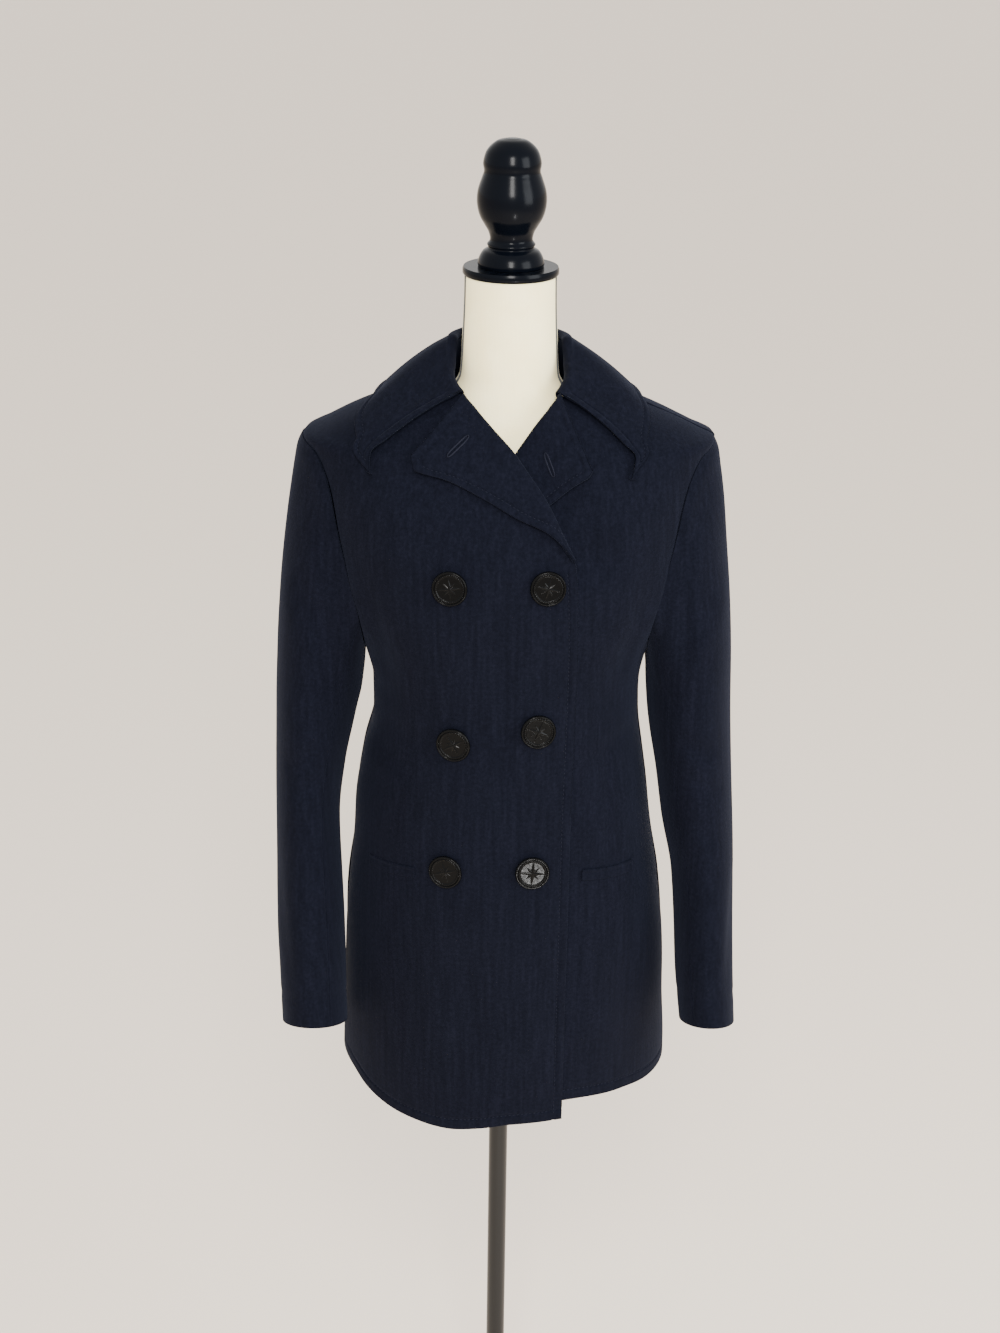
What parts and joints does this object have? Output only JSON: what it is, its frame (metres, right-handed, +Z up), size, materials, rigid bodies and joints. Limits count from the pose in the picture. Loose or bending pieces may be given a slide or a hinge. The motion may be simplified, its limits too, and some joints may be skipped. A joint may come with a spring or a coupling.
{
  "type": "double-breasted pea coat on a limbless dress form with a turned stand",
  "caption": "Hip-length double-breasted wool pea coat, buttoned closed on a limbless dress form with a turned finial, pole and round base.",
  "frame": {"origin": "on the floor, at the centre of the base's flat underside, under the pole", "axes": "+Z up along the pole; the coat's front faces -Y; +X is the wearer's left"},
  "size_m": [0.4684, 0.2906, 1.6225],
  "materials": {
    "melton": "navy napped wool melton, matt with a soft sheen",
    "button": "black moulded plastic, glossy",
    "form_cover": "cream jersey stretched over foam",
    "lacquer": "turned wood, gloss black-navy lacquer",
    "stand_metal": "black enamel, satin"
  },
  "bodies": {
    "root": {"front_over": "melton", "front_under": "melton", "back_left": "melton", "back_right": "melton", "sleeve_top_left": "melton", "sleeve_under_left": "melton", "sleeve_top_right": "melton", "sleeve_under_right": "melton", "collar_stand": "melton", "collar_fall": "melton", "lapel_over": "melton", "lapel_under": "melton", "pocket_welt_left": "melton", "pocket_welt_right": "melton", "button_top_right": "button", "button_top_left": "button", "button_middle_right": "button", "button_middle_left": "button", "button_bottom_right": "button", "button_bottom_left": "button", "form_torso": "form_cover", "neck_plate": "lacquer", "finial": "lacquer", "pole": "stand_metal", "base": "stand_metal"}
  },
  "joints": []
}
